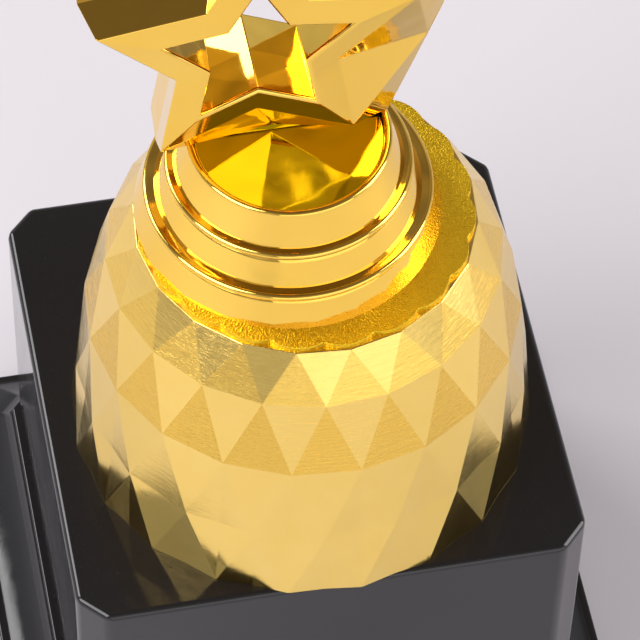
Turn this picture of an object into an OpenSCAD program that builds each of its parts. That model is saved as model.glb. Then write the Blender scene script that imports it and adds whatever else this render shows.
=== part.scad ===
// Star trophy: a hollow five-pointed star on three stepped collars,
// a diamond-cut bell and a gloss black plinth with a flared foot.
// Millimetres, +Z up, origin at the centre of the plinth's underside, front toward -Y.

/* [Plinth] */
// Side of the square plinth block
block_w = 100; // [90:1:110]
// Height of the plinth block above its foot
block_h = 66; // [50:1:80]
// Size of the vertical corner chamfers
block_chamfer = 5.4; // [3:0.1:8]
// Bevel around the top edge of the block
block_bevel = 1.2; // [0.6:0.1:2]
// Wall thickness of the moulded block
block_wall = 3; // [2:0.1:4]
// Side of the flared foot at the floor
foot_w = 124; // [116:1:132]
// Height of the flared foot
foot_h = 14; // [12:0.5:18]

/* [Bell] */
// Distance the bell stands in front of the plinth's centre
bell_forward = 6.5; // [0:0.1:7]
// Radius of the bell at its bottom rim
bell_bottom_r = 45.3; // [43:0.1:46]
// Radius of the bell at its shoulder
bell_shoulder_r = 32.1; // [31.5:0.1:33]
// Height of the bell
bell_h = 60.5; // [55:0.5:66]
// Number of diamond facets around the bell
facets = 20; // [16:2:24]
// Turn of the facet pattern about the bell's axis in degrees
facet_phase = 4.3; // [0:0.1:17.9]

/* [Collars] */
// Sideways set of the collar stack from the bell's axis
collar_set_x = -3; // [-3:0.1:3]
// Front to back set of the collar stack from the bell's axis
collar_set_y = 1.8; // [-1.5:0.1:1.8]
// Radius of the collar stack where it meets the shoulder
collar_foot_r = 28.6; // [28:0.1:29]
// Radius of the mirror cap's rim
cap_rim_r = 18.9; // [18:0.1:20]
// Radius of the rolled bead on each collar
bead_r = 0.8; // [0.6:0.05:1]

/* [Star] */
// Radius to the star's points at the seam
star_r = 36.5; // [34:0.1:38]
// Radius to the points of the front outline
star_front_r = 29.8; // [28:0.1:31]
// Radius to the points of the star-shaped opening
star_hole_r = 17.4; // [15:0.1:18]
// Notch radius as a share of the point radius
star_notch = 0.51; // [0.48:0.01:0.54]
// Thickness of the star from front to back
star_depth = 18.4; // [14:0.2:20]
// Amount the front outline is set to the left of the seam
star_skew = 4.3; // [0:0.1:4.5]
// Set of the star from the collar axis
star_set_x = -2.7; // [-3:0.1:3]

/* [Hidden] */

$fn = 96;
black = "#202021";
gold = "#d9b24a";
steel = "#9a9ca0";

// Plinth levels, from the floor up
pad_r = 7;
pad_h = 2;
pad_inset = 16;
cover_t = 2.4;
cover_gap = 0.4;
foot_z = 1.2;
foot_wall = 3.2;
foot_lip_h = 4;
foot_neck_h = 1.6;
neck_step = 1.5;
foot_neck_w = block_w + 2 * neck_step;
foot_ledge = 2;
plate_t = 3;
block_z = foot_h;
block_top = block_z + block_h;
boss_r = 4;
boss_inset = 27;
cover_screw_l = 7;
cover_head_t = 1.4;
cover_head_gap = 0.6;
weight_w = 84;
weight_h = 22;

// Central tie rod, an M6 stud with a nut and washer at each end
rod_r = 3;
rod_hole_r = 3.3;
washer_r = 8;
washer_t = 1.2;
nut_r = 5.77;
nut_t = 5;
rod_end = 2;
rod_tail = 0.3;
spacer_r = 6;
rod_z = block_z - plate_t - washer_t - nut_t - rod_tail;

// Bell
bell_x = 0.8;
bell_y = -bell_forward;
bell_z = block_top;
bell_wall = 3.4;
bell_floor_t = 3;
bell_top_t = 3;
shoulder_z = bell_z + bell_h;
shoulder_t = 1.2;
lobe_r = 8;
lobe_inset = 0.4;
floor_gap = 0.3;
facet_turn = 180 / facets;
bell_rings = [[bell_bottom_r, 0], [43.9, bell_h * 0.281], [41.7, bell_h * 0.579],
              [37.5, bell_h * 0.843], [bell_shoulder_r, bell_h]];

// Collars, each a tapered ring with a rolled bead and a ledge for the next
col_x = bell_x + collar_set_x;
col_y = bell_y + collar_set_y;
col_z = shoulder_z + shoulder_t;
step_h = 7.1;
ledge_t = 2;
collar_wall = 2;
groove = 0.25;
lower_lean = 1.7;
lower_tread = 2.2;
lower_ledge = 6;
middle_lean = 1.8;
middle_tread = 1.7;
middle_ledge = 4;
lower_top_r = collar_foot_r - lower_lean;
middle_foot_r = lower_top_r - lower_tread;
middle_top_r = middle_foot_r - middle_lean;
upper_foot_r = middle_top_r - middle_tread;
rim_z = col_z + 3 * step_h;
cap_t = 1.4;
cap_drop = 1;
rim_w = 1.5;
rim_round = 0.5;
cap_gap = 0.1;
cap_r = cap_rim_r - rim_w;
collar_bolt_r = 19;
collar_boss_r = 3.4;
collar_screw_grip = 3.5;
screw_r = 1.5;
screw_hole_r = 1.7;
screw_head_r = 3;
screw_head_t = 1.8;

// Star, standing on the rim of the upper collar
star_x = col_x + star_set_x;
star_set_y = 2.2;
star_y = col_y + star_set_y;
star_z = rim_z + star_r * cos(36);
star_half = star_depth / 2;
star_relief = 1.2;
star_lift = 1.2;
hole_x = star_x - star_skew;
hole_z = star_z + star_lift;
hole_draft = 0.6;
back_inset = 0.7;
star_back_r = star_r - back_inset;
front_notches = [star_notch, star_notch, star_notch, star_notch, star_notch];
seam_notches = [star_notch, star_notch, cos(36), cos(36), star_notch];
dowel_r = 1.5;
dowel_l = 8;
dowel_gap = 0.2;
dowel_ring_r = 24;
foot_screw_x = 7;
foot_screw_y = 3.5;
foot_screw_grip = 7;
pad_half_w = 11.5;
pad_front = 0.3;
pad_depth = 6.9;

function octagon(w, c) = [[w / 2, w / 2 - c], [w / 2 - c, w / 2], [c - w / 2, w / 2],
                          [-w / 2, w / 2 - c], [-w / 2, c - w / 2], [c - w / 2, -w / 2],
                          [w / 2 - c, -w / 2], [w / 2, c - w / 2]];

function bell_point(ring, i, turn) =
    let (a = facet_phase + 360 / facets * i + turn)
    [ring[0] * cos(a), ring[0] * sin(a), ring[1]];

function star_ring(r, notches, x, y, z) =
    [for (i = [0:9])
        let (a = 90 + 36 * i, q = i % 2 == 0 ? r : r * notches[(i - 1) / 2])
        [x + q * cos(a), y, z + q * sin(a)]];

// Square prism with chamfered vertical corners
module slab(w, c, h) {
    linear_extrude(h) polygon(octagon(w, c));
}

// The same, tapering from one width to another
module taper(w1, w2, c, h) {
    linear_extrude(h, scale = w2 / w1) polygon(octagon(w1, c));
}

module hex_nut(z) {
    translate([bell_x, bell_y, z]) difference() {
        cylinder(r = nut_r, h = nut_t, $fn = 6);
        translate([0, 0, -1]) cylinder(r = rod_r, h = nut_t + 2);
    }
}

module rod_washer(z) {
    translate([bell_x, bell_y, z]) difference() {
        cylinder(r = washer_r, h = washer_t);
        translate([0, 0, -1]) cylinder(r = rod_hole_r, h = washer_t + 2);
    }
}

module rod_bore(z, h) {
    translate([bell_x, bell_y, z - 1]) cylinder(r = rod_hole_r, h = h + 2);
}

module at_corners(inset) {
    for (sx = [-1, 1], sy = [-1, 1])
        translate([sx * (foot_w / 2 - inset), sy * (foot_w / 2 - inset), 0]) children();
}

// Three screw places around the collar axis
module at_collar_bolts() {
    for (i = [0:2])
        translate([col_x, col_y, 0]) rotate([0, 0, 90 + 120 * i])
            translate([collar_bolt_r, 0, 0]) children();
}

// Two screw places under the star
module at_star_screws() {
    for (s = [-1, 1])
        translate([star_x + s * foot_screw_x, star_y + foot_screw_y, 0]) children();
}

// Five dowel places around the opening
module at_dowels() {
    for (i = [0:4])
        translate([star_x + dowel_ring_r * cos(90 + 72 * i), star_y,
                   star_z + dowel_ring_r * sin(90 + 72 * i)])
            rotate([90, 0, 0]) children();
}

module base_foot() {
    inner_w = foot_w - 2 * foot_wall;
    slope_z = foot_z + foot_lip_h;
    slope_h = foot_h - slope_z - foot_neck_h;
    color(black) difference() {
        union() {
            translate([0, 0, foot_z]) slab(foot_w, block_chamfer, foot_lip_h);
            translate([0, 0, slope_z]) taper(foot_w - 2 * foot_ledge, foot_neck_w, block_chamfer, slope_h);
            translate([0, 0, foot_h - foot_neck_h]) slab(foot_neck_w, block_chamfer, foot_neck_h);
        }
        difference() {
            union() {
                slab(inner_w, block_chamfer, pad_h + cover_t);
                slab(foot_neck_w - 2 * foot_wall, block_chamfer, foot_h - plate_t);
            }
            at_corners(boss_inset)
                translate([0, 0, pad_h + cover_t]) cylinder(r = boss_r, h = foot_h);
        }
        at_corners(boss_inset) cylinder(r = screw_r, h = foot_h - plate_t - 1);
        rod_bore(foot_z, foot_h);
    }
}

module base_block() {
    straight_h = block_h - block_bevel;
    color(black) difference() {
        union() {
            translate([0, 0, block_z]) slab(block_w, block_chamfer, straight_h);
            translate([0, 0, block_z + straight_h])
                taper(block_w, block_w - 2 * block_bevel, block_chamfer, block_bevel);
        }
        translate([0, 0, block_z - 1])
            slab(block_w - 2 * block_wall, block_chamfer, block_h - block_wall + 1);
        rod_bore(block_z, block_h);
    }
}

module base_weight() {
    color(steel) difference() {
        translate([0, 0, block_z]) slab(weight_w, block_chamfer, weight_h);
        rod_bore(block_z, weight_h);
    }
}

module bottom_cover() {
    color("dimgray") difference() {
        translate([0, 0, pad_h])
            slab(foot_w - 2 * foot_wall - 2 * cover_gap, block_chamfer, cover_t);
        at_corners(boss_inset) cylinder(r = screw_hole_r, h = pad_h + cover_t + 1);
    }
}

module rubber_feet() {
    color("#303030") at_corners(pad_inset) cylinder(r = pad_r, h = pad_h);
}

module cover_screws() {
    color(steel) at_corners(boss_inset) {
        translate([0, 0, cover_head_gap]) cylinder(r = screw_head_r, h = cover_head_t);
        translate([0, 0, pad_h]) cylinder(r = screw_r, h = cover_screw_l);
    }
}

module rod_washer_lower() {
    color(steel) rod_washer(block_z - plate_t - washer_t);
}

module rod_nut_lower() {
    color(steel) hex_nut(block_z - plate_t - washer_t - nut_t);
}

module tie_rod() {
    color(steel) translate([bell_x, bell_y, rod_z])
        cylinder(r = rod_r, h = col_z + washer_t + nut_t + rod_end - rod_z);
}

module bell_floor() {
    color(black) difference() {
        translate([bell_x, bell_y, bell_z])
            cylinder(r = bell_bottom_r - bell_wall - floor_gap, h = bell_floor_t);
        rod_bore(bell_z, bell_floor_t);
    }
}

module bell_shell() {
    n = facets;
    top = len(bell_rings) - 1;
    points = [for (k = [0:top], i = [0:n - 1]) bell_point(bell_rings[k], i, k % 2 * facet_turn)];
    sides = [for (k = [0:top - 1], i = [0:n - 1], s = [0:1])
        let (j = (i + 1) % n, low = k * n, high = low + n)
        k % 2 == 0
            ? (s == 0 ? [low + i, high + i, low + j] : [low + j, high + i, high + j])
            : (s == 0 ? [low + i, high + i, high + j] : [low + i, high + j, low + j])];
    floor_face = [for (i = [0:n - 1]) i];
    top_face = [for (i = [0:n - 1]) top * n + n - 1 - i];
    inner = [for (k = [0:top]) [bell_rings[k][0] - bell_wall, min(bell_rings[k][1], bell_h - bell_top_t)]];
    color(gold) difference() {
        translate([bell_x, bell_y, bell_z])
            polyhedron(points, concat(sides, [floor_face], [top_face]));
        translate([bell_x, bell_y, bell_z]) rotate_extrude()
            polygon(concat([[0, -1], [inner[0][0], -1]], inner, [[0, bell_h - bell_top_t]]));
        rod_bore(shoulder_z - bell_top_t, bell_top_t);
        at_collar_bolts() translate([0, 0, shoulder_z - bell_top_t - 1])
            cylinder(r = screw_hole_r, h = bell_top_t + 2);
    }
}

module spacer_tube() {
    tube_z = bell_z + bell_floor_t;
    tube_h = bell_h - bell_floor_t - bell_top_t;
    color(steel) difference() {
        translate([bell_x, bell_y, tube_z]) cylinder(r = spacer_r, h = tube_h);
        rod_bore(tube_z, tube_h);
    }
}

module shoulder_disc() {
    color(gold) difference() {
        translate([bell_x, bell_y, shoulder_z]) union() {
            cylinder(r = bell_shoulder_r - lobe_r / 2, h = shoulder_t);
            for (i = [0:facets - 1])
                rotate([0, 0, facet_phase + 360 / facets * i])
                    translate([bell_shoulder_r - lobe_r - lobe_inset, 0, 0])
                        cylinder(r = lobe_r, h = shoulder_t);
        }
        rod_bore(shoulder_z, shoulder_t);
        at_collar_bolts() translate([0, 0, shoulder_z - 1])
            cylinder(r = screw_hole_r, h = shoulder_t + 2);
    }
}

module rod_washer_upper() {
    color(steel) rod_washer(col_z);
}

module rod_nut_upper() {
    color(steel) hex_nut(col_z + washer_t);
}

// Tapered ring with a bead at the top and a ledge reaching in to hole_r
module collar(z, foot_r, top_r, hole_r) {
    translate([col_x, col_y, z]) rotate_extrude() {
        polygon([[foot_r - collar_wall, 0], [foot_r, 0], [top_r - groove, step_h - 2 * bead_r],
                 [top_r - bead_r, step_h - bead_r], [top_r - bead_r, step_h],
                 [hole_r, step_h], [hole_r, step_h - ledge_t],
                 [top_r - collar_wall - groove, step_h - ledge_t]]);
        translate([top_r - bead_r, step_h - bead_r]) circle(r = bead_r, $fn = 48);
    }
}

module collar_lower() {
    color(gold) {
        collar(col_z, collar_foot_r, lower_top_r, middle_foot_r - lower_ledge);
        at_collar_bolts() translate([0, 0, col_z]) difference() {
            cylinder(r = collar_boss_r, h = step_h - ledge_t / 2);
            translate([0, 0, -1]) cylinder(r = screw_r, h = step_h - ledge_t);
        }
    }
}

module collar_middle() {
    color(gold) collar(col_z + step_h, middle_foot_r, middle_top_r, upper_foot_r - middle_ledge);
}

module collar_upper() {
    color(gold) difference() {
        translate([col_x, col_y, col_z + 2 * step_h]) rotate_extrude() {
            floor_z = step_h - cap_drop - cap_t;
            polygon([[upper_foot_r - collar_wall, 0], [upper_foot_r, 0], [cap_rim_r, step_h - 2 * bead_r],
                     [cap_rim_r - 0.4 * rim_round, step_h - 0.6 * rim_round],
                     [cap_rim_r - rim_round, step_h], [cap_r + cap_gap, step_h],
                     [cap_r + cap_gap, floor_z], [0, floor_z],
                     [0, floor_z - ledge_t], [cap_rim_r - collar_wall, floor_z - ledge_t]]);
        }
        at_star_screws() translate([0, 0, col_z + 2 * step_h])
            cylinder(r = screw_hole_r, h = step_h);
    }
}

module collar_screws() {
    color(steel) at_collar_bolts() {
        translate([0, 0, shoulder_z - bell_top_t - screw_head_t])
            cylinder(r = screw_head_r, h = screw_head_t);
        translate([0, 0, shoulder_z - bell_top_t])
            cylinder(r = screw_r, h = bell_top_t + shoulder_t + collar_screw_grip);
    }
}

module top_cap() {
    color(gold) difference() {
        union() {
            translate([col_x, col_y, rim_z - cap_drop - cap_t]) cylinder(r = cap_r, h = cap_t);
            translate([star_x - pad_half_w, star_y + pad_front, rim_z - cap_drop])
                cube([2 * pad_half_w, pad_depth, cap_drop]);
        }
        at_star_screws() translate([0, 0, rim_z - cap_drop - cap_t - 1])
            cylinder(r = screw_hole_r, h = cap_t + cap_drop + 2);
    }
}

// One half of the star: outline, opening edge, opening at the seam, outline at the seam
module star_half_body(rings, flip) {
    points = concat(rings[0], rings[1], rings[2], rings[3]);
    walls = [for (k = [0:3], i = [0:9], s = [0:1])
        let (j = (i + 1) % 10, a = 10 * k, b = 10 * ((k + 1) % 4))
        s == 0 ? [a + i, a + j, b + i] : [a + j, b + j, b + i]];
    polyhedron(points, flip ? [for (f = walls) [f[2], f[1], f[0]]] : walls);
}

module star_front() {
    y = star_y - star_half;
    color(gold) difference() {
        star_half_body([star_ring(star_front_r, front_notches, hole_x, y + star_relief, hole_z),
                        star_ring(star_hole_r, front_notches, hole_x, y, hole_z),
                        star_ring(star_hole_r - hole_draft, front_notches, hole_x, star_y, hole_z),
                        star_ring(star_r, seam_notches, star_x, star_y, star_z)], false);
        at_dowels() cylinder(r = dowel_r, h = dowel_l / 2 + dowel_gap);
    }
}

module star_back() {
    y = star_y + star_half;
    color(gold) difference() {
        star_half_body([star_ring(star_back_r, seam_notches, star_x, y - star_relief,
                                  rim_z + star_back_r * cos(36)),
                        star_ring(star_hole_r, front_notches, hole_x, y, hole_z),
                        star_ring(star_hole_r - hole_draft, front_notches, hole_x, star_y, hole_z),
                        star_ring(star_r, seam_notches, star_x, star_y, star_z)], true);
        at_dowels() mirror([0, 0, 1]) cylinder(r = dowel_r, h = dowel_l / 2 + dowel_gap);
        at_star_screws() translate([0, 0, rim_z - 1]) cylinder(r = screw_r, h = foot_screw_grip + 2);
    }
}

module star_dowels() {
    color(steel) at_dowels() translate([0, 0, -dowel_l / 2]) cylinder(r = dowel_r, h = dowel_l);
}

module star_screws() {
    head_z = rim_z - cap_drop - cap_t - ledge_t;
    color(steel) at_star_screws() {
        translate([0, 0, head_z - screw_head_t]) cylinder(r = screw_head_r, h = screw_head_t);
        translate([0, 0, head_z]) cylinder(r = screw_r, h = rim_z + foot_screw_grip - head_z);
    }
}

base_foot();
base_block();
base_weight();
bottom_cover();
rubber_feet();
cover_screws();
rod_washer_lower();
rod_nut_lower();
tie_rod();
bell_floor();
bell_shell();
spacer_tube();
shoulder_disc();
rod_washer_upper();
rod_nut_upper();
collar_lower();
collar_middle();
collar_upper();
collar_screws();
top_cap();
star_front();
star_back();
star_dowels();
star_screws();
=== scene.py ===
# %% [markdown]
# # Star trophy
# A gold five-pointed star stands on three stepped collars, a diamond-cut bell and a
# gloss black plinth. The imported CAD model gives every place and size; this lesson gives
# the pieces their rounded edges, their small mouldings and their finishes.
# All lengths are in metres, in the same frame as the CAD.

# %% Load the frame
import math
import bpy
import bmesh
from mathutils import Matrix, Vector


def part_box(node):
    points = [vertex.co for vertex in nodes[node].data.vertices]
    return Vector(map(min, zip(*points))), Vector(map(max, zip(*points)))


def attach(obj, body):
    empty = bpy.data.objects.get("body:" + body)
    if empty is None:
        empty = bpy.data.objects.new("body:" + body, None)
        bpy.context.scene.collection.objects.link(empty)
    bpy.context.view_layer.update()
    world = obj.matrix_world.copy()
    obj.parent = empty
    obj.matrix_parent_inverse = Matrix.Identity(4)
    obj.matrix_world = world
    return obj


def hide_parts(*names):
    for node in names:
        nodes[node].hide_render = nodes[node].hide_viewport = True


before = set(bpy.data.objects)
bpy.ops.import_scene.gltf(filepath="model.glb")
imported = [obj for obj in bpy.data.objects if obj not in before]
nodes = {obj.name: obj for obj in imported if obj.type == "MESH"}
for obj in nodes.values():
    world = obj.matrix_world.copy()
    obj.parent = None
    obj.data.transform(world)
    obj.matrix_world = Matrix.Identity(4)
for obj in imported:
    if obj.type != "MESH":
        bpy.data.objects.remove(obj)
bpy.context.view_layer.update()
MM = 0.001

# %% [markdown]
# ## Camera
# The trophy is seen from above and a little to the left, through a long lens that
# crops it closely. A camera matrix is three columns: right, up, and back towards the
# viewer. Working them out from an azimuth, an elevation and a small roll keeps the
# three numbers readable, where a list of Euler angles would not be.

# %% Camera
AZIMUTH, ELEVATION, ROLL = (math.radians(a) for a in (-12.45, 54.10, 1.84))
CAMERA_PLACE = Vector((-0.09496, -0.45598, 0.7416))
LENS, SENSOR = 229.5, 36.0

back = Vector((math.sin(AZIMUTH) * math.cos(ELEVATION),
               -math.cos(AZIMUTH) * math.cos(ELEVATION), math.sin(ELEVATION)))
level = Vector((0, 0, 1)).cross(back).normalized()
above = back.cross(level)
right = math.cos(ROLL) * level + math.sin(ROLL) * above
up = math.cos(ROLL) * above - math.sin(ROLL) * level

camera_data = bpy.data.cameras.new("camera")
camera_data.lens = LENS
camera_data.sensor_width = SENSOR
camera = bpy.data.objects.new("camera", camera_data)
bpy.context.scene.collection.objects.link(camera)
turn = Matrix((right, up, back)).transposed().to_4x4()
camera.matrix_world = Matrix.Translation(CAMERA_PLACE) @ turn
bpy.context.scene.camera = camera
print("camera at", CAMERA_PLACE[:])

# %% [markdown]
# ## Soft studio light
# Polished gold has no colour of its own to show: it shows what stands around it. So the
# room matters more than the lamps. Wide soft panels give the long pale reflections, and
# the darker room between them gives the brown ones that make a shape look like metal.

# %% Room and lamps


def noise(tree, vector, scale, detail=3.0, rough=0.5):
    """A noise texture's grey value."""
    node = tree.nodes.new("ShaderNodeTexNoise")
    node.inputs["Scale"].default_value = scale
    node.inputs["Detail"].default_value = detail
    node.inputs["Roughness"].default_value = rough
    tree.links.new(vector, node.inputs["Vector"])
    return node.outputs["Fac"]


def spread(tree, value, low, high, start=0.3, end=0.7):
    """Spreads a grey value between two numbers."""
    node = tree.nodes.new("ShaderNodeMapRange")
    node.inputs["From Min"].default_value = start
    node.inputs["From Max"].default_value = end
    node.inputs["To Min"].default_value = low
    node.inputs["To Max"].default_value = high
    tree.links.new(value, node.inputs["Value"])
    return node.outputs["Result"]


world = bpy.data.worlds.new("studio")
bpy.context.scene.world = world
world.use_nodes = True
ROOM_TONES = [(0.0, 0.60), (0.50, 0.64), (0.60, 0.56), (0.70, 0.44), (0.79, 0.26), (0.87, 0.27),
              (1.0, 0.20)]
WALL_TINT, CEILING_TINT = (0.97, 0.95, 1.0), (1.08, 0.89, 0.77)
CEILING_FROM = 0.75
BACKDROP = (0.78, 0.75, 0.79, 1)


def room_light(tree):
    """A room that is pale at the horizon, darker and warmer overhead, behind a backdrop."""
    where = tree.nodes.new("ShaderNodeTexCoord")
    parts = tree.nodes.new("ShaderNodeSeparateXYZ")
    tree.links.new(where.outputs["Generated"], parts.inputs["Vector"])
    height = spread(tree, parts.outputs["Z"], 0.0, 1.0, -1.0, 1.0)
    ramp = tree.nodes.new("ShaderNodeValToRGB")
    stops = ramp.color_ramp.elements
    while len(stops) < len(ROOM_TONES):
        stops.new(0.5)
    for stop, (place, tone) in zip(stops, ROOM_TONES):
        stop.position = place
        tint = CEILING_TINT if place > CEILING_FROM else WALL_TINT
        stop.color = (*(tone * part for part in tint), 1)
    tree.links.new(height, ramp.inputs["Fac"])
    patches = noise(tree, where.outputs["Generated"], 1.7, 0.0)
    uneven = tree.nodes.new("ShaderNodeMix")
    uneven.data_type = "RGBA"
    uneven.blend_type = "MULTIPLY"
    uneven.inputs["Factor"].default_value = 1.0
    tree.links.new(ramp.outputs["Color"], uneven.inputs["A"])
    tree.links.new(spread(tree, patches, 0.62, 1.4, 0.35, 0.65), uneven.inputs["B"])
    seen = tree.nodes.new("ShaderNodeLightPath")
    choice = tree.nodes.new("ShaderNodeMix")
    choice.data_type = "RGBA"
    choice.inputs["B"].default_value = BACKDROP
    tree.links.new(seen.outputs["Is Camera Ray"], choice.inputs["Factor"])
    tree.links.new(uneven.outputs["Result"], choice.inputs["A"])
    tree.links.new(choice.outputs["Result"], tree.nodes["Background"].inputs["Color"])


room_light(world.node_tree)
bpy.context.scene.view_settings.view_transform = "Standard"
LAMP_AIM = Vector((0, 0, 0.12))


def soft_panel(name, place, size, power):
    """A rectangular lamp that faces the trophy."""
    data = bpy.data.lights.new(name, "AREA")
    data.shape = "RECTANGLE"
    data.size, data.size_y = size
    data.energy = power
    lamp = bpy.data.objects.new(name, data)
    lamp.location = place
    aim = LAMP_AIM - Vector(place)
    lamp.rotation_euler = aim.to_track_quat("-Z", "Y").to_euler()
    bpy.context.scene.collection.objects.link(lamp)


soft_panel("key_left", (-0.85, -0.35, 0.85), (0.8, 0.8), 11)
soft_panel("fill_right", (0.9, -0.15, 0.55), (0.5, 0.8), 6)
soft_panel("back_left", (-0.75, 0.75, 0.9), (0.6, 0.6), 7)
soft_panel("front_low", (0.22, -0.75, 0.24), (1.1, 0.55), 1.8)

# %% [markdown]
# ## Materials
# Each finish is a small node tree on a Principled shader. The patterns read Object
# coordinates, which run in metres here, so a scale of 1000 is one wave per millimetre.

# %% Material helpers


def finish_tree(name, colour, metallic, roughness):
    """A Principled material and its node tree, with the plain numbers set on the shader."""
    mat = bpy.data.materials.new(name)
    mat.use_nodes = True
    tree = mat.node_tree
    shader = tree.nodes["Principled BSDF"]
    shader.inputs["Base Color"].default_value = (*colour, 1)
    shader.inputs["Metallic"].default_value = metallic
    shader.inputs["Roughness"].default_value = roughness
    return mat, tree, shader


def stretched(tree, scale):
    """Object coordinates stretched by a Mapping node."""
    where = tree.nodes.new("ShaderNodeTexCoord")
    mapping = tree.nodes.new("ShaderNodeMapping")
    mapping.inputs["Scale"].default_value = scale
    tree.links.new(where.outputs["Object"], mapping.inputs["Vector"])
    return mapping.outputs["Vector"]


def tinted(tree, value, dark, light):
    """A colour between two tints."""
    node = tree.nodes.new("ShaderNodeMix")
    node.data_type = "RGBA"
    node.inputs["A"].default_value = (*dark, 1)
    node.inputs["B"].default_value = (*light, 1)
    tree.links.new(value, node.inputs["Factor"])
    return node.outputs["Result"]


def times(tree, first, second):
    """Two grey values multiplied."""
    node = tree.nodes.new("ShaderNodeMath")
    node.operation = "MULTIPLY"
    for socket, value in zip(node.inputs, (first, second)):
        if isinstance(value, float):
            socket.default_value = value
        else:
            tree.links.new(value, socket)
    return node.outputs["Value"]


def bumped(tree, height, depth, strength=1.0, under=None):
    """A bump node whose depth is in metres."""
    node = tree.nodes.new("ShaderNodeBump")
    node.inputs["Distance"].default_value = depth
    node.inputs["Strength"].default_value = strength
    tree.links.new(height, node.inputs["Height"])
    if under:
        tree.links.new(under, node.inputs["Normal"])
    return node.outputs["Normal"]


def wire(tree, value, shader, socket):
    """Feeds a value into one of the shader's sockets."""
    tree.links.new(value, shader.inputs[socket])


# %% [markdown]
# ### Mirror gold
# The star, the collars and the cap are moulded and then plated, so the surface is a
# mirror that follows the slight waves of the moulding. A very shallow, slow bump bends
# the reflections the way real plating does. Fine wipe marks only touch the roughness.

# %% Mirror gold


def mirror_gold_finish(name, dark, light):
    mat, tree, shader = finish_tree(name, light, 1.0, 0.05)
    even = stretched(tree, (1, 1, 1))
    waves = noise(tree, even, 95, 1.0)
    peel = noise(tree, even, 900, 2.0)
    slow = bumped(tree, waves, 0.00030, 1.0)
    wire(tree, bumped(tree, peel, 0.000004, 1.0, slow), shader, "Normal")
    smears = noise(tree, stretched(tree, (1, 1, 3.5)), 140, 4.0, 0.65)
    wire(tree, spread(tree, smears, 0.03, 0.11), shader, "Roughness")
    tint = noise(tree, even, 60, 2.0)
    wire(tree, tinted(tree, tint, dark, light), shader, "Base Color")
    return mat


mirror_gold = mirror_gold_finish("mirror_gold", (0.97, 0.61, 0.09), (0.99, 0.67, 0.13))
cap_gold = mirror_gold_finish("cap_gold", (0.98, 0.80, 0.03), (1.0, 0.88, 0.05))

# %% [markdown]
# ### Satin gold of the bell
# The bell's facets come in two kinds: smooth ones, and ones cut with fine level lines.
# A number stored on each face says which is which, and it fades the line bump in or out.

# %% Satin gold


def bell_gold_finish():
    mat, tree, shader = finish_tree("satin_gold", (0.9, 0.66, 0.24), 1.0, 0.22)
    kind = tree.nodes.new("ShaderNodeAttribute")
    kind.attribute_name = "cut_lines"
    cut = kind.outputs["Fac"]
    lines = noise(tree, stretched(tree, (0.09, 0.09, 1)), 2100, 4.0, 0.7)
    blotches = noise(tree, stretched(tree, (1, 1, 1)), 170, 3.0)
    height = times(tree, lines, cut)
    soft = bumped(tree, blotches, 0.00006, 1.0)
    wire(tree, bumped(tree, height, 0.00013, 1.0, soft), shader, "Normal")
    worn = spread(tree, lines, 0.0, 0.22)
    added = tree.nodes.new("ShaderNodeMath")
    added.inputs[1].default_value = 0.14
    tree.links.new(times(tree, worn, cut), added.inputs[0])
    wire(tree, added.outputs["Value"], shader, "Roughness")
    gold = tinted(tree, blotches, (0.93, 0.65, 0.16), (0.97, 0.71, 0.21))
    shaded = tree.nodes.new("ShaderNodeMix")
    shaded.data_type = "RGBA"
    shaded.inputs["B"].default_value = (0.84, 0.53, 0.08, 1)
    tree.links.new(spread(tree, cut, 0.0, 0.8, 0.4, 1.0), shaded.inputs["Factor"])
    tree.links.new(gold, shaded.inputs["A"])
    wire(tree, shaded.outputs["Result"], shader, "Base Color")
    return mat


bell_gold = bell_gold_finish()

# %% [markdown]
# ### Grained gold of the shoulder
# The flat ring under the collars is blasted with sand before it is plated. Small round
# pits glint one by one, which a Voronoi pattern gives better than a noise does.

# %% Grained gold


def grained_gold_finish():
    mat, tree, shader = finish_tree("grained_gold", (0.86, 0.60, 0.14), 1.0, 0.3)
    even = stretched(tree, (1, 1, 1))
    pits = tree.nodes.new("ShaderNodeTexVoronoi")
    pits.inputs["Scale"].default_value = 2600
    tree.links.new(even, pits.inputs["Vector"])
    grain = noise(tree, even, 3200, 3.0, 0.6)
    first = bumped(tree, pits.outputs["Distance"], 0.00012, 1.0)
    wire(tree, bumped(tree, grain, 0.00006, 1.0, first), shader, "Normal")
    wire(tree, spread(tree, grain, 0.26, 0.45), shader, "Roughness")
    wire(tree, tinted(tree, grain, (0.94, 0.56, 0.016), (1.0, 0.71, 0.036)), shader, "Base Color")
    return mat


grained_gold = grained_gold_finish()

# %% [markdown]
# ### Gloss black of the plinth
# Black moulded plastic under a clear gloss. It reads as black because almost all it
# sends back is a sharp reflection, so the finish lives in faint waves and wipe marks.

# %% Gloss black


def gloss_black_finish():
    mat, tree, shader = finish_tree("gloss_black", (0.010, 0.010, 0.012), 0.0, 0.08)
    even = stretched(tree, (1, 1, 1))
    waves = noise(tree, even, 30, 1.0)
    peel = noise(tree, even, 1400, 2.0)
    slow = bumped(tree, waves, 0.00025, 1.0)
    wire(tree, bumped(tree, peel, 0.000003, 1.0, slow), shader, "Normal")
    wipes = noise(tree, stretched(tree, (1, 5, 2)), 60, 5.0, 0.7)
    wire(tree, spread(tree, wipes, 0.05, 0.14), shader, "Roughness")
    dust = noise(tree, even, 2200, 2.0)
    wire(tree, tinted(tree, spread(tree, dust, 0.0, 1.0, 0.66, 0.8),
                      (0.011, 0.0105, 0.012), (0.03, 0.03, 0.033)), shader, "Base Color")
    return mat


gloss_black = gloss_black_finish()

# %% [markdown]
# ### Finishes inside and underneath
# Zinc on the steel fixings, rough cast iron, textured black plastic and rubber. They are
# seen only when the trophy is turned over or taken apart.

# %% Zinc, iron, cover plastic and rubber


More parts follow.
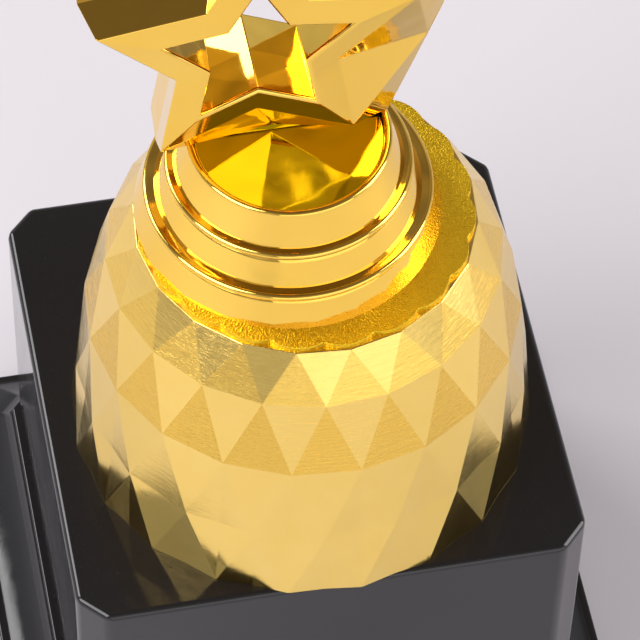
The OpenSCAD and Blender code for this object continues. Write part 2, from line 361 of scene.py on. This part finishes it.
def plain_finish(name, dark, light, metallic, rough, grain_scale, depth, stretch=(1, 1, 1)):
    """A finish with two tints, a varied roughness and a grain bump."""
    mat, tree, shader = finish_tree(name, light, metallic, rough[0])
    even = stretched(tree, stretch)
    grain = noise(tree, even, grain_scale, 4.0, 0.6)
    patches = noise(tree, even, grain_scale * 0.05, 3.0)
    wire(tree, bumped(tree, grain, depth, 1.0), shader, "Normal")
    wire(tree, spread(tree, grain, *rough), shader, "Roughness")
    wire(tree, tinted(tree, spread(tree, patches, 0, 1), dark, light), shader, "Base Color")
    return mat


zinc_steel = plain_finish("zinc_steel", (0.48, 0.50, 0.53), (0.66, 0.66, 0.64), 1.0,
                          (0.22, 0.42), 2400, 0.00002, (1, 1, 0.15))
cast_iron = plain_finish("cast_iron", (0.05, 0.05, 0.052), (0.10, 0.095, 0.09), 0.8,
                         (0.5, 0.8), 900, 0.00025)
cover_plastic = plain_finish("cover_plastic", (0.016, 0.016, 0.018), (0.03, 0.03, 0.032), 0.0,
                             (0.45, 0.65), 1800, 0.00006)
pad_rubber = plain_finish("pad_rubber", (0.02, 0.02, 0.02), (0.036, 0.035, 0.034), 0.0,
                          (0.7, 0.9), 1500, 0.00005)

# %% [markdown]
# ## Making a piece
# Every shape below is a bmesh. When it is ready, its doubles are merged, its faces are
# turned outwards, and it becomes one object that rides on the trophy's only body.

# %% Piece helpers


def finished(bm, name, material, replaced):
    """Turns a bmesh into a piece of the trophy."""
    bmesh.ops.remove_doubles(bm, verts=bm.verts, dist=1e-6)
    bmesh.ops.recalc_face_normals(bm, faces=bm.faces)
    for face in bm.faces:
        face.smooth = True
    mesh = bpy.data.meshes.new(name)
    bm.to_mesh(mesh)
    bm.free()
    piece = bpy.data.objects.new(name, mesh)
    bpy.context.scene.collection.objects.link(piece)
    mesh.materials.append(material)
    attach(piece, "root")
    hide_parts(*replaced)
    print(name, len(mesh.polygons), "faces")
    return piece


SHARP_FROM = math.radians(44)


def even_shading(piece):
    """Lets the wide faces set the normals, so bevels look round and flats look flat."""
    marked = bmesh.new()
    marked.from_mesh(piece.data)
    for edge in marked.edges:
        edge.smooth = edge.calc_face_angle(0) < SHARP_FROM
    marked.to_mesh(piece.data)
    marked.free()
    modifier = piece.modifiers.new("even_shading", "WEIGHTED_NORMAL")
    modifier.weight = 90
    modifier.keep_sharp = True


def lathe(profile, axis, steps=144):
    """Spins a closed profile of (radius, height) points about an upright axis."""
    bm = bmesh.new()
    verts = [bm.verts.new((axis.x + r, axis.y, z)) for r, z in profile]
    edges = [bm.edges.new((a, b)) for a, b in zip(verts, verts[1:] + verts[:1])
             if max((a.co - axis).xy.length, (b.co - axis).xy.length) > 1e-7]
    bmesh.ops.spin(bm, geom=verts + edges, cent=(axis.x, axis.y, 0), axis=(0, 0, 1),
                   angle=2 * math.pi, steps=steps, use_merge=True)
    return bm


def arc(centre, radius, first, last, count):
    """Points on an arc in the profile plane, angles in degrees."""
    return [(centre[0] + radius * math.cos(math.radians(first + (last - first) * i / count)),
             centre[1] + radius * math.sin(math.radians(first + (last - first) * i / count)))
            for i in range(count + 1)]


def gathered(parts):
    """Several bmeshes in one."""
    whole = bmesh.new()
    for part in parts:
        mesh = bpy.data.meshes.new("part")
        part.to_mesh(mesh)
        part.free()
        whole.from_mesh(mesh)
        bpy.data.meshes.remove(mesh)
    return whole


def middle(node):
    """The centre of a CAD node's box."""
    lo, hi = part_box(node)
    return (lo + hi) / 2


def four_corners(node, edge):
    """Four places, edge inside the corners of a CAD node's box."""
    lo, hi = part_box(node)
    return [Vector((x, y, 0)) for x in (lo.x + edge, hi.x - edge)
            for y in (lo.y + edge, hi.y - edge)]


# %% [markdown]
# ## Plinth block
# The block is a deep black box with cut corners. A square face gets its corners from a
# vertex bevel, and an extrusion gives it height. The rim is then rounded with a bevel of
# four segments, because a sharp edge would never catch the light as the real one does.

# %% Plinth block
CORNER_CUT = 5.4 * MM
RIM_ROUND = 1.3 * MM
WALL = 3.0 * MM
HAIR = 0.01 * MM


def cut_square(bm, width, z):
    """A level square face with its four corners cut."""
    bmesh.ops.create_grid(bm, x_segments=1, y_segments=1, size=width / 2)
    bmesh.ops.bevel(bm, geom=bm.verts[:], offset=CORNER_CUT, segments=1, profile=0.5,
                    affect="VERTICES", material=-1)
    bmesh.ops.translate(bm, verts=bm.verts, vec=(0, 0, z))
    return bm.faces[:][0]


def raise_face(bm, face, rise, spread_by=1.0, axis=Vector((0, 0, 0))):
    """Extrudes a level face upwards and scales it about an upright axis."""
    made = bmesh.ops.extrude_face_region(bm, geom=[face])["geom"]
    verts = [g for g in made if isinstance(g, bmesh.types.BMVert)]
    bmesh.ops.translate(bm, verts=verts, vec=(0, 0, rise))
    if spread_by != 1.0:
        bmesh.ops.scale(bm, verts=verts, vec=(spread_by, spread_by, 1),
                        space=Matrix.Translation(-axis))
    bmesh.ops.delete(bm, geom=[face], context="FACES_ONLY")
    return next(g for g in made if isinstance(g, bmesh.types.BMFace))


def plinth_block():
    lo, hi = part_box("base_block")
    bm = bmesh.new()
    floor = cut_square(bm, hi.x - lo.x, lo.z)
    made = bmesh.ops.extrude_face_region(bm, geom=[floor])["geom"]
    top = [g for g in made if isinstance(g, bmesh.types.BMVert)]
    bmesh.ops.translate(bm, verts=top, vec=(0, 0, hi.z - lo.z))
    bmesh.ops.recalc_face_normals(bm, faces=bm.faces)
    under = min(bm.faces, key=lambda f: f.calc_center_median().z)
    bmesh.ops.inset_individual(bm, faces=[under], thickness=WALL, depth=0)
    cored = bmesh.ops.extrude_face_region(bm, geom=[under])["geom"]
    bmesh.ops.delete(bm, geom=[under], context="FACES_ONLY")
    core = [g for g in cored if isinstance(g, bmesh.types.BMVert)]
    bmesh.ops.translate(bm, verts=core, vec=(0, 0, hi.z - lo.z - WALL))
    rim = [e for e in bm.edges if all(v.co.z > hi.z - HAIR for v in e.verts)]
    corners = [e for e in bm.edges if abs(e.verts[0].co.z - e.verts[1].co.z) > WALL
               and max(abs(e.verts[0].co.x), abs(e.verts[0].co.y)) > hi.x - HAIR]
    bmesh.ops.bevel(bm, geom=rim + corners, offset=RIM_ROUND, segments=4, profile=0.5,
                    affect="EDGES", material=-1)
    piece = finished(bm, "plinth_block", gloss_black, ["base_block"])
    even_shading(piece)


plinth_block()

# %% [markdown]
# ## Flared foot
# Below the block the foot spreads out in a shallow cove to a thick lip. It is a stack of
# cut squares: each level is the last face raised and narrowed, and the cove is just a few
# levels whose widths follow a soft curve, so its reflections fade instead of stopping.
# The underside is a stepped pocket, made the same way: the cover closes its wide mouth,
# and four round bosses above the cover take the screws.

# %% Flared foot
FOOT_LIP = 4.0 * MM
FOOT_NECK = 1.6 * MM
COVE_STEPS = 10
COVE_SAG = 1.6 * MM
FOOT_LEDGE = 2.0 * MM
NECK_STEP = 1.5 * MM
FOOT_EASE = 0.5 * MM
FOOT_CREASE = math.radians(20)
FOOT_WALL = 3.2 * MM
FOOT_PLATE = 3.0 * MM
BOSS_R = 4.0 * MM
BOSS_ROOT = 0.5 * MM
HEAD_R = 3.0 * MM


def plinth_foot():
    lo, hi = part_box("base_foot")
    wide = hi.x - lo.x
    neck = 2 * (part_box("base_block")[1].x + NECK_STEP)
    bm = bmesh.new()
    face = cut_square(bm, wide, lo.z)
    made = bmesh.ops.extrude_face_region(bm, geom=[face])["geom"]
    verts = [g for g in made if isinstance(g, bmesh.types.BMVert)]
    top = next(g for g in made if isinstance(g, bmesh.types.BMFace))
    bmesh.ops.translate(bm, verts=verts, vec=(0, 0, FOOT_LIP))
    start = wide - 2 * FOOT_LEDGE
    top = raise_face(bm, top, 0.0, start / wide)
    now = start
    rise = hi.z - lo.z - FOOT_LIP - FOOT_NECK
    for step in range(1, COVE_STEPS + 1):
        t = step / COVE_STEPS
        width = start + (neck - start) * t - 2 * COVE_SAG * 4 * t * (1 - t)
        top = raise_face(bm, top, rise / COVE_STEPS, width / now)
        now = width
    raise_face(bm, top, FOOT_NECK)
    edges = [e for e in bm.edges if not e.is_boundary and e.calc_face_angle(0) > FOOT_CREASE]
    bmesh.ops.bevel(bm, geom=edges, offset=FOOT_EASE, segments=3, profile=0.5,
                    affect="EDGES", material=-1, clamp_overlap=True)
    under = min(bm.faces, key=lambda f: f.calc_center_median().z)
    cover_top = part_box("bottom_cover")[1].z
    ceiling = hi.z - FOOT_PLATE
    mouth, inner = wide - 2 * FOOT_WALL, neck - 2 * FOOT_WALL
    pocket = raise_face(bm, under, 0.0, mouth / (2 * max(v.co.x for v in under.verts)))
    pocket = raise_face(bm, pocket, cover_top - lo.z)
    pocket = raise_face(bm, pocket, 0.0, inner / mouth)
    raise_face(bm, pocket, ceiling - cover_top)
    boss = [(0, cover_top), (BOSS_R, cover_top), (BOSS_R, ceiling + BOSS_ROOT),
            (0, ceiling + BOSS_ROOT)]
    bosses = [lathe(boss, place, 48) for place in four_corners("cover_screws", HEAD_R)]
    piece = finished(gathered([bm] + bosses), "plinth_foot", gloss_black,
                     ["base_foot"])
    even_shading(piece)


plinth_foot()

# %% [markdown]
# ## Bell
# The bell is cut all over with tall flat diamonds. Five rings of points, each turned half
# a facet from the last, are bridged into bands, and splitting each band's four-sided faces
# along their short diagonal gives the triangles. A tiny bevel makes every ridge glint.
# The inside is smooth and open below, raised from the bottom face ring by ring.

# %% Bell
FACETS = 20
FACET_PHASE = math.radians(4.3)
BELL_RINGS = [(0.0, 45.3), (0.281, 43.9), (0.579, 41.7), (0.843, 37.5), (1.0, 32.1)]
CREST = -0.55
RIDGE = 0.15 * MM
BELL_WALL = 3.4 * MM
BELL_TOP = 3.0 * MM
CUT_DEPTHS = [(0.0, 0.10), (0.06, 0.30), (0.45, 1.0), (0.45, 0.8)]


def ring_of_points(bm, count, radius, axis, z, start):
    """A closed ring of edges."""
    made = bmesh.ops.create_circle(bm, segments=count, radius=radius)["verts"]
    first = math.atan2(made[0].co.y, made[0].co.x)
    bmesh.ops.rotate(bm, verts=made, matrix=Matrix.Rotation(start - first, 3, "Z"))
    bmesh.ops.translate(bm, verts=made, vec=(axis.x, axis.y, z))
    return list({e for v in made for e in v.link_edges})


def bell():
    lo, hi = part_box("bell_shell")
    axis = middle("spacer_tube")
    middle_z = (lo.z + hi.z) / 2
    bm = bmesh.new()
    rings = []
    for k, (share, radius) in enumerate(BELL_RINGS):
        start = FACET_PHASE + (math.pi / FACETS if k % 2 else 0)
        rings.append(ring_of_points(bm, FACETS, radius * MM, axis,
                                    lo.z + (hi.z - lo.z) * share, start))
    for low, high in zip(rings, rings[1:]):
        bmesh.ops.bridge_loops(bm, edges=low + high)
    bmesh.ops.triangulate(bm, faces=bm.faces[:], quad_method="SHORT_EDGE")
    level = [e for e in bm.edges if abs(e.verts[0].co.z - e.verts[1].co.z) < 1e-6]
    halved = bmesh.ops.subdivide_edges(bm, edges=level, cuts=1)["geom_inner"]
    for v in [g for g in halved if isinstance(g, bmesh.types.BMVert)]:
        arm = (v.co - axis).xy
        share = (v.co.z - lo.z) / (hi.z - lo.z)
        bulge = arm.length * (1 / math.cos(math.pi / FACETS) - 1) * CREST * (share < 0.5)
        v.co.xy += arm.normalized() * bulge
    bmesh.ops.triangulate(bm, faces=[f for f in bm.faces if len(f.verts) > 3])
    for top in (False, True):
        rim = [e for e in bm.edges if e.is_boundary
               and all((v.co.z > middle_z) == top for v in e.verts)]
        bmesh.ops.contextual_create(bm, geom=rim)
    bmesh.ops.recalc_face_normals(bm, faces=bm.faces)
    cut = bm.faces.layers.float.new("cut_lines")
    for face in bm.faces:
        centre = face.calc_center_median() - axis
        share = (face.calc_center_median().z - lo.z) / (hi.z - lo.z)
        row = sum(share > s for s, _ in BELL_RINGS[1:-1])
        points_up = sum(v.co.z < lo.z + (hi.z - lo.z) * (BELL_RINGS[row][0]
                        + BELL_RINGS[row + 1][0]) / 2 for v in face.verts) == 2
        face[cut] = CUT_DEPTHS[row][int(points_up)]
    ridges = [e for e in bm.edges if len(e.link_faces) == 2]
    bmesh.ops.bevel(bm, geom=ridges, offset=RIDGE, segments=2, profile=0.5,
                    affect="EDGES", material=-1)
    inside = min(bm.faces, key=lambda f: f.calc_center_median().z)
    reach, level = max((v.co - axis).xy.length for v in inside.verts), lo.z
    for share, radius in BELL_RINGS:
        goal_r = radius * MM - BELL_WALL
        goal_z = min(lo.z + (hi.z - lo.z) * share, hi.z - BELL_TOP)
        inside = raise_face(bm, inside, goal_z - level, goal_r / reach, axis)
        reach, level = goal_r, goal_z
    piece = finished(bm, "bell", bell_gold, ["bell_shell"])
    even_shading(piece)


bell()

# %% [markdown]
# ## Shoulder disc
# A thin plate closes the bell. Its edge is scalloped, one lobe to each facet. A circle
# with many points is pushed in and out by the lobes' own curve, then extruded.

# %% Shoulder disc
LOBE_STEPS = 16
LOBE_RADIUS = 8.0 * MM
DISC_REACH = 31.7 * MM
FINE_EASE = 0.15 * MM


def shoulder_disc():
    lo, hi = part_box("shoulder_disc")
    axis = middle("spacer_tube")
    throw = DISC_REACH - LOBE_RADIUS
    bm = bmesh.new()
    verts = bmesh.ops.create_circle(bm, segments=FACETS * LOBE_STEPS, radius=DISC_REACH,
                                    cap_ends=True)["verts"]
    for v in verts:
        around = math.atan2(v.co.y, v.co.x) - FACET_PHASE
        off = (around / (2 * math.pi / FACETS) + 0.5) % 1 - 0.5
        angle = off * 2 * math.pi / FACETS
        r = throw * math.cos(angle) + math.sqrt(LOBE_RADIUS**2 - (throw * math.sin(angle))**2)
        v.co.xy = v.co.xy.normalized() * r
    bmesh.ops.translate(bm, verts=bm.verts, vec=(axis.x, axis.y, lo.z))
    made = bmesh.ops.extrude_face_region(bm, geom=bm.faces[:])["geom"]
    top = [g for g in made if isinstance(g, bmesh.types.BMVert)]
    bmesh.ops.translate(bm, verts=top, vec=(0, 0, hi.z - lo.z))
    rim = [e for e in bm.edges if all(v.co.z > hi.z - 1e-6 for v in e.verts)]
    bmesh.ops.bevel(bm, geom=rim, offset=FINE_EASE, segments=2, profile=0.5,
                    affect="EDGES", material=-1)
    piece = finished(bm, "shoulder_plate", grained_gold, ["shoulder_disc"])
    even_shading(piece)


shoulder_disc()

# %% [markdown]
# ## Collars
# The three collars are turned shapes: a wall that leans in, a fine groove, and a rolled
# bead at the top. A lathe does this best, so each is one profile spun about the axis. The
# wall is all but straight, so its reflections stand up as bands from bead to bead.

# %% Collars
BEAD = 0.8 * MM
GROOVE = 0.25 * MM
COLLAR_WALL = 2.0 * MM
LEDGE = 2.0 * MM
HOLLOW = 0.02 * MM
WALL_STEPS = 10
SEAT_GAP = 0.05 * MM
LOWER_FOOT_R, LOWER_TOP_R, LOWER_HOLE_R = 28.6 * MM, 26.9 * MM, 18.7 * MM
MIDDLE_FOOT_R, MIDDLE_TOP_R, MIDDLE_HOLE_R = 24.7 * MM, 22.9 * MM, 17.2 * MM


def leaning_wall(foot_r, top_r, low, high):
    """The outer line of a collar's wall, slightly hollow."""
    points = []
    for i in range(WALL_STEPS + 1):
        t = i / WALL_STEPS
        sag = HOLLOW * 4 * t * (1 - t)
        points.append((foot_r + (top_r - foot_r) * t - sag, low + (high - low) * t))
    return points


def collar(name, node, foot_r, top_r, hole_r):
    lo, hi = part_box(node)
    axis = middle(node)
    wall = leaning_wall(foot_r, top_r - GROOVE, lo.z, hi.z - 2 * BEAD)
    bead = arc((top_r - BEAD, hi.z - BEAD), BEAD, -60, 90, 12)
    ledge = [(hole_r, hi.z - SEAT_GAP), (hole_r, hi.z - LEDGE),
             (top_r - COLLAR_WALL - GROOVE, hi.z - LEDGE), (foot_r - COLLAR_WALL, lo.z)]
    bm = lathe(wall + bead + [(top_r - 1.5 * BEAD, hi.z - SEAT_GAP)] + ledge,
               Vector((axis.x, axis.y, 0)))
    piece = finished(bm, name, mirror_gold, [node])
    even_shading(piece)


collar("collar_ring_low", "collar_lower", LOWER_FOOT_R, LOWER_TOP_R, LOWER_HOLE_R)
collar("collar_ring_mid", "collar_middle", MIDDLE_FOOT_R, MIDDLE_TOP_R, MIDDLE_HOLE_R)

# %% [markdown]
# The top collar ends in a plain rolled rim, and the cap sits a millimetre down inside it.
# A low pad on the cap, with its upper edges eased, carries the star.

# %% Top collar and cap
UPPER_FOOT_R = 21.2 * MM
RIM_R = 18.9 * MM
CAP_R = 17.4 * MM
CAP_DROP = 1.0 * MM
CAP_THICK = 1.4 * MM
PAD_SIZE = (23.0 * MM, 6.9 * MM)
PAD_SINK = 0.1 * MM
CAP_GAP = 0.1 * MM
CAP_EASE = 0.3 * MM
STAR_SET_X = -2.7 * MM
PAD_SET_Y = 5.95 * MM
pad_place = middle("collar_upper").xy + Vector((STAR_SET_X, PAD_SET_Y))


def top_collar():
    lo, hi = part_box("collar_upper")
    axis = middle("collar_upper")
    half = (RIM_R - CAP_R) / 2
    seat = hi.z - CAP_DROP - CAP_THICK
    wall = leaning_wall(UPPER_FOOT_R, RIM_R, lo.z, hi.z - half)
    rim = arc((RIM_R - half, hi.z - half), half, 0, 180, 14)[1:]
    inside = [(CAP_R, seat), (0, seat), (0, seat - LEDGE),
              (RIM_R - COLLAR_WALL, seat - LEDGE), (UPPER_FOOT_R - COLLAR_WALL, lo.z)]
    piece = finished(lathe(wall + rim + inside, Vector((axis.x, axis.y, 0))),
                     "collar_ring_top", mirror_gold, ["collar_upper"])
    even_shading(piece)


def cap():
    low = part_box("top_cap")[0].z
    axis = middle("top_cap")
    top = low + CAP_THICK
    edge_r = CAP_R - CAP_GAP
    profile = [(0, low), (edge_r, low)]
    profile += arc((edge_r - CAP_EASE, top - CAP_EASE), CAP_EASE, 0, 90, 5) + [(0, top)]
    disc = lathe(profile, Vector((axis.x, axis.y, 0)))
    pad = bmesh.new()
    bmesh.ops.create_cube(pad, size=1)
    bmesh.ops.scale(pad, verts=pad.verts, vec=(*PAD_SIZE, CAP_DROP + 2 * PAD_SINK))
    bmesh.ops.translate(pad, verts=pad.verts, vec=(*pad_place, top + CAP_DROP / 2 - PAD_SINK))
    upper = [e for e in pad.edges if all(v.co.z > top + CAP_DROP / 2 for v in e.verts)]
    bmesh.ops.bevel(pad, geom=upper, offset=FINE_EASE, segments=2, profile=0.5,
                    affect="EDGES", material=-1)
    piece = finished(gathered([disc, pad]), "cap_mirror", cap_gold,
                     ["top_cap"])
    even_shading(piece)


top_collar()
cap()

# %% [markdown]
# ## Star
# The star is two castings that meet at an upright seam. Each is four star-shaped loops
# joined in turn: the outline at the seam, the outline at the face, the edge of the
# opening, and the opening at the seam. Bridging the loops makes the slanting facets. The
# opening sits to the left of the outline, so the facets on the right are wide and flat.

# %% Star loops
STAR_R, FRONT_R, BACK_R, HOLE_R = 36.5 * MM, 29.8 * MM, 35.8 * MM, 17.4 * MM
NOTCH = 0.51
FLAT = math.cos(math.radians(36))
SKEW, LIFT, RELIEF, DRAFT = 4.3 * MM, 1.2 * MM, 1.2 * MM, 0.6 * MM
LIP_EASE, EDGE_EASE = 0.7 * MM, 0.28 * MM
FLAT_WITHIN, EDGE_FROM = math.radians(1.5), math.radians(12)
SHORTEST_EDGE = 2 * MM
OPEN_NOTCHES = (NOTCH,) * 5
SEAM_NOTCHES = (NOTCH, NOTCH, FLAT, FLAT, NOTCH)
seam_lo, seam_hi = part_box("star_front")
STAR_X = middle("collar_upper").x + STAR_SET_X
RIM_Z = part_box("collar_upper")[1].z
SEAM_Z = RIM_Z + STAR_R * FLAT
SEAM_Y = seam_hi.y
HALF = seam_hi.y - seam_lo.y


def star_loop(bm, radius, notches, x, y, z):
    """A ring of ten points, with every other one pulled in to make the notches."""
    verts = bmesh.ops.create_circle(bm, segments=10, radius=radius)["verts"]
    first = math.atan2(verts[0].co.y, verts[0].co.x)
    bmesh.ops.rotate(bm, verts=verts, matrix=Matrix.Rotation(math.pi / 2 - first, 3, "Z"))
    for v in verts:
        step = round((math.degrees(math.atan2(v.co.y, v.co.x)) - 90) / 36) % 10
        if step % 2:
            v.co *= notches[(step - 1) // 2]
    bmesh.ops.rotate(bm, verts=verts, matrix=Matrix.Rotation(math.pi / 2, 3, "X"))
    bmesh.ops.translate(bm, verts=verts, vec=(x, y, z))
    return list({e for v in verts for e in v.link_edges})


def star_half(name, node, side):
    """side is -1 for the front casting and 1 for the back one."""
    face_y = SEAM_Y + side * HALF
    bm = bmesh.new()
    seam = star_loop(bm, STAR_R, SEAM_NOTCHES, STAR_X, SEAM_Y, SEAM_Z)
    if side < 0:
        outline = star_loop(bm, FRONT_R, OPEN_NOTCHES, STAR_X - SKEW, face_y + RELIEF,
                            SEAM_Z + LIFT)
    else:
        outline = star_loop(bm, BACK_R, SEAM_NOTCHES, STAR_X, face_y - RELIEF,
                            RIM_Z + BACK_R * FLAT)
    opening = star_loop(bm, HOLE_R, OPEN_NOTCHES, STAR_X - SKEW, face_y, SEAM_Z + LIFT)
    inside = star_loop(bm, HOLE_R - DRAFT, OPEN_NOTCHES, STAR_X - SKEW, SEAM_Y,
                       SEAM_Z + LIFT)
    for first, second in ((seam, outline), (outline, opening), (opening, inside),
                          (inside, seam)):
        bmesh.ops.bridge_loops(bm, edges=first + second)
    bmesh.ops.recalc_face_normals(bm, faces=bm.faces)
    bmesh.ops.triangulate(bm, faces=bm.faces[:], quad_method="SHORT_EDGE")
    bmesh.ops.dissolve_limit(bm, angle_limit=FLAT_WITHIN, verts=bm.verts, edges=bm.edges)
    lip = [e for e in bm.edges if all(abs(v.co.y - face_y) < 1e-6 for v in e.verts)]
    bmesh.ops.bevel(bm, geom=lip, offset=LIP_EASE, segments=2, profile=0.5,
                    affect="EDGES", material=-1)
    sharp = [e for e in bm.edges if len(e.link_faces) == 2
             and e.calc_face_angle(0) > EDGE_FROM
             and not all(abs(v.co.y - SEAM_Y) < 1e-6 for v in e.verts)
             and e.calc_length() > SHORTEST_EDGE]
    bmesh.ops.bevel(bm, geom=sharp, offset=EDGE_EASE, segments=3, profile=0.5,
                    affect="EDGES", material=-1, clamp_overlap=True)
    piece = finished(bm, name, mirror_gold, [node])
    even_shading(piece)


star_half("star_face_half", "star_front", -1)
star_half("star_rear_half", "star_back", 1)

# %% [markdown]
# ## Pads and fixings
# The pads are turned: a rounded edge and a shallow dish underneath that grips a shelf.
# Screws and the tie rod are turned too. Their threads are rings rather than a helix,
# which looks the same at this size and keeps every piece a clean closed shape. A drive
# recess comes from pushing the points of a round well in and out six times.

# %% Pads
PAD_R = 7.0 * MM
PAD_H = 2.0 * MM
DISH_R = 4.6 * MM
DISH_DEEP = 0.5 * MM


def pad_profile():
    edge = 0.4 * MM
    under = [(0, DISH_DEEP), (DISH_R - edge, DISH_DEEP), (DISH_R, 0)]
    outside = arc((PAD_R - edge, edge), edge, -90, 0, 5) + [(PAD_R, PAD_H), (0, PAD_H)]
    return under + outside


pads = [lathe(pad_profile(), place, 72) for place in four_corners("rubber_feet", PAD_R)]
even_shading(finished(gathered(pads), "stand_pads", pad_rubber, ["rubber_feet"]))

# %% Screws
SHANK_R = 1.5 * MM
WELL_R = 1.25 * MM
WELL_DEEP = 0.8 * MM
LOBE_THROW = 0.14 * MM
HEAD_DOME = 0.5 * MM
THREAD_DEEP, THREAD_PITCH, THREAD_LEAD = 0.22 * MM, 0.7 * MM, 0.8 * MM
TIP_TAPER = 0.4 * MM


def thread_rings(radius, depth, first, last, pitch):
    """Zigzag profile points for a thread that runs between two heights."""
    count = max(1, int(abs(last - first) / pitch))
    step = (last - first) / count
    points = []
    for i in range(count):
        points += [(radius, first + step * (i + 0.25)), (radius - depth, first + step * (i + 0.75))]
    return points


def screw(place, head_z, head_t, tip_z):
    """A pan-head screw. Its head reaches head_t below head_z and its tip is at tip_z."""
    low = head_z - head_t
    profile = [(0, low + WELL_DEEP), (WELL_R, low + WELL_DEEP), (WELL_R, low)]
    profile += arc((HEAD_R - HEAD_DOME, low + HEAD_DOME), HEAD_DOME, -90, 0, 5) + [(HEAD_R, head_z)]
    profile += [(SHANK_R, head_z)] + thread_rings(
        SHANK_R, THREAD_DEEP, head_z + THREAD_LEAD, tip_z - THREAD_LEAD, THREAD_PITCH)
    profile += [(SHANK_R - TIP_TAPER, tip_z), (0, tip_z)]
    bm = lathe(profile, place, 60)
    for v in bm.verts:
        arm = v.co.xy - place.xy
        if abs(arm.length - WELL_R) < 1e-7 and v.co.z < head_z:
            push = LOBE_THROW * math.cos(6 * math.atan2(arm.y, arm.x))
            v.co.xy += arm.normalized() * push
    return bm


def screw_set(name, node, places, head_t):
    lo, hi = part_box(node)
    made = [screw(place, lo.z + head_t, head_t, hi.z) for place in places]
    even_shading(finished(gathered(made), name, zinc_steel, [node]))


def round_the_collar(count, radius, first):
    """Places on a circle about the collars' axis."""
    axis = middle("collar_lower")
    turns = [math.radians(first + 360 * i / count) for i in range(count)]
    return [Vector((axis.x + radius * math.cos(a), axis.y + radius * math.sin(a), 0))
            for a in turns]


screw_set("base_cover_screws", "cover_screws", four_corners("cover_screws", HEAD_R), 1.4 * MM)
screw_set("collar_fixings", "collar_screws", round_the_collar(3, 19 * MM, 90), 1.8 * MM)
foot_lo, foot_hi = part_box("star_screws")
screw_set("star_fixings", "star_screws",
          [Vector((x, middle("star_screws").y, 0))
           for x in (foot_lo.x + HEAD_R, foot_hi.x - HEAD_R)], 1.8 * MM)

# %% Tie rod
ROD_R = 3.0 * MM
ROD_THREAD = 18 * MM
ROD_PITCH = 1.0 * MM
ROD_CUT = 0.35 * MM
ROD_LEAD = 0.5 * MM


def threaded_rod():
    lo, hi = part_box("tie_rod")
    place = middle("tie_rod")
    profile = [(0, lo.z), (ROD_R - ROD_CUT, lo.z)]
    profile += thread_rings(ROD_R, ROD_CUT, lo.z + ROD_LEAD, lo.z + ROD_THREAD, ROD_PITCH)
    profile += [(ROD_R, lo.z + ROD_THREAD), (ROD_R, hi.z - ROD_THREAD)]
    profile += thread_rings(ROD_R, ROD_CUT, hi.z - ROD_THREAD, hi.z - ROD_LEAD, ROD_PITCH)
    profile += [(ROD_R - ROD_CUT, hi.z), (0, hi.z)]
    even_shading(finished(lathe(profile, Vector((place.x, place.y, 0)), 48), "centre_rod",
                          zinc_steel, ["tie_rod"]))


threaded_rod()

# %% [markdown]
# ## Pieces kept from the CAD
# The nuts, washers, spacer, dowels, ballast, cover and bell floor already have their true
# shape, so they keep their CAD meshes and only get their finishes.

# %% Finishes for the CAD pieces
CAD_FINISHES = {
    zinc_steel: ("rod_washer_lower", "rod_nut_lower", "spacer_tube", "rod_washer_upper",
                 "rod_nut_upper", "star_dowels"),
    cast_iron: ("base_weight",),
    cover_plastic: ("bottom_cover", "bell_floor"),
}
for material, names in CAD_FINISHES.items():
    for node_name in names:
        slots = nodes[node_name].data.materials
        slots.clear()
        slots.append(material)
print("CAD pieces with finishes:", sum(len(n) for n in CAD_FINISHES.values()))

# %% [markdown]
# ## Floor
# A plain pale sheet carries the trophy. It is not attached to the trophy's body, so it is not part
# of it.

# %% Floor


def floor_sheet():
    bm = bmesh.new()
    bmesh.ops.create_grid(bm, x_segments=1, y_segments=1, size=3)
    mesh = bpy.data.meshes.new("floor")
    bm.to_mesh(mesh)
    bm.free()
    sheet = bpy.data.objects.new("floor", mesh)
    bpy.context.scene.collection.objects.link(sheet)
    mat, tree, shader = finish_tree("floor_card", (0.71, 0.685, 0.735), 0.0, 0.7)
    mesh.materials.append(mat)


floor_sheet()
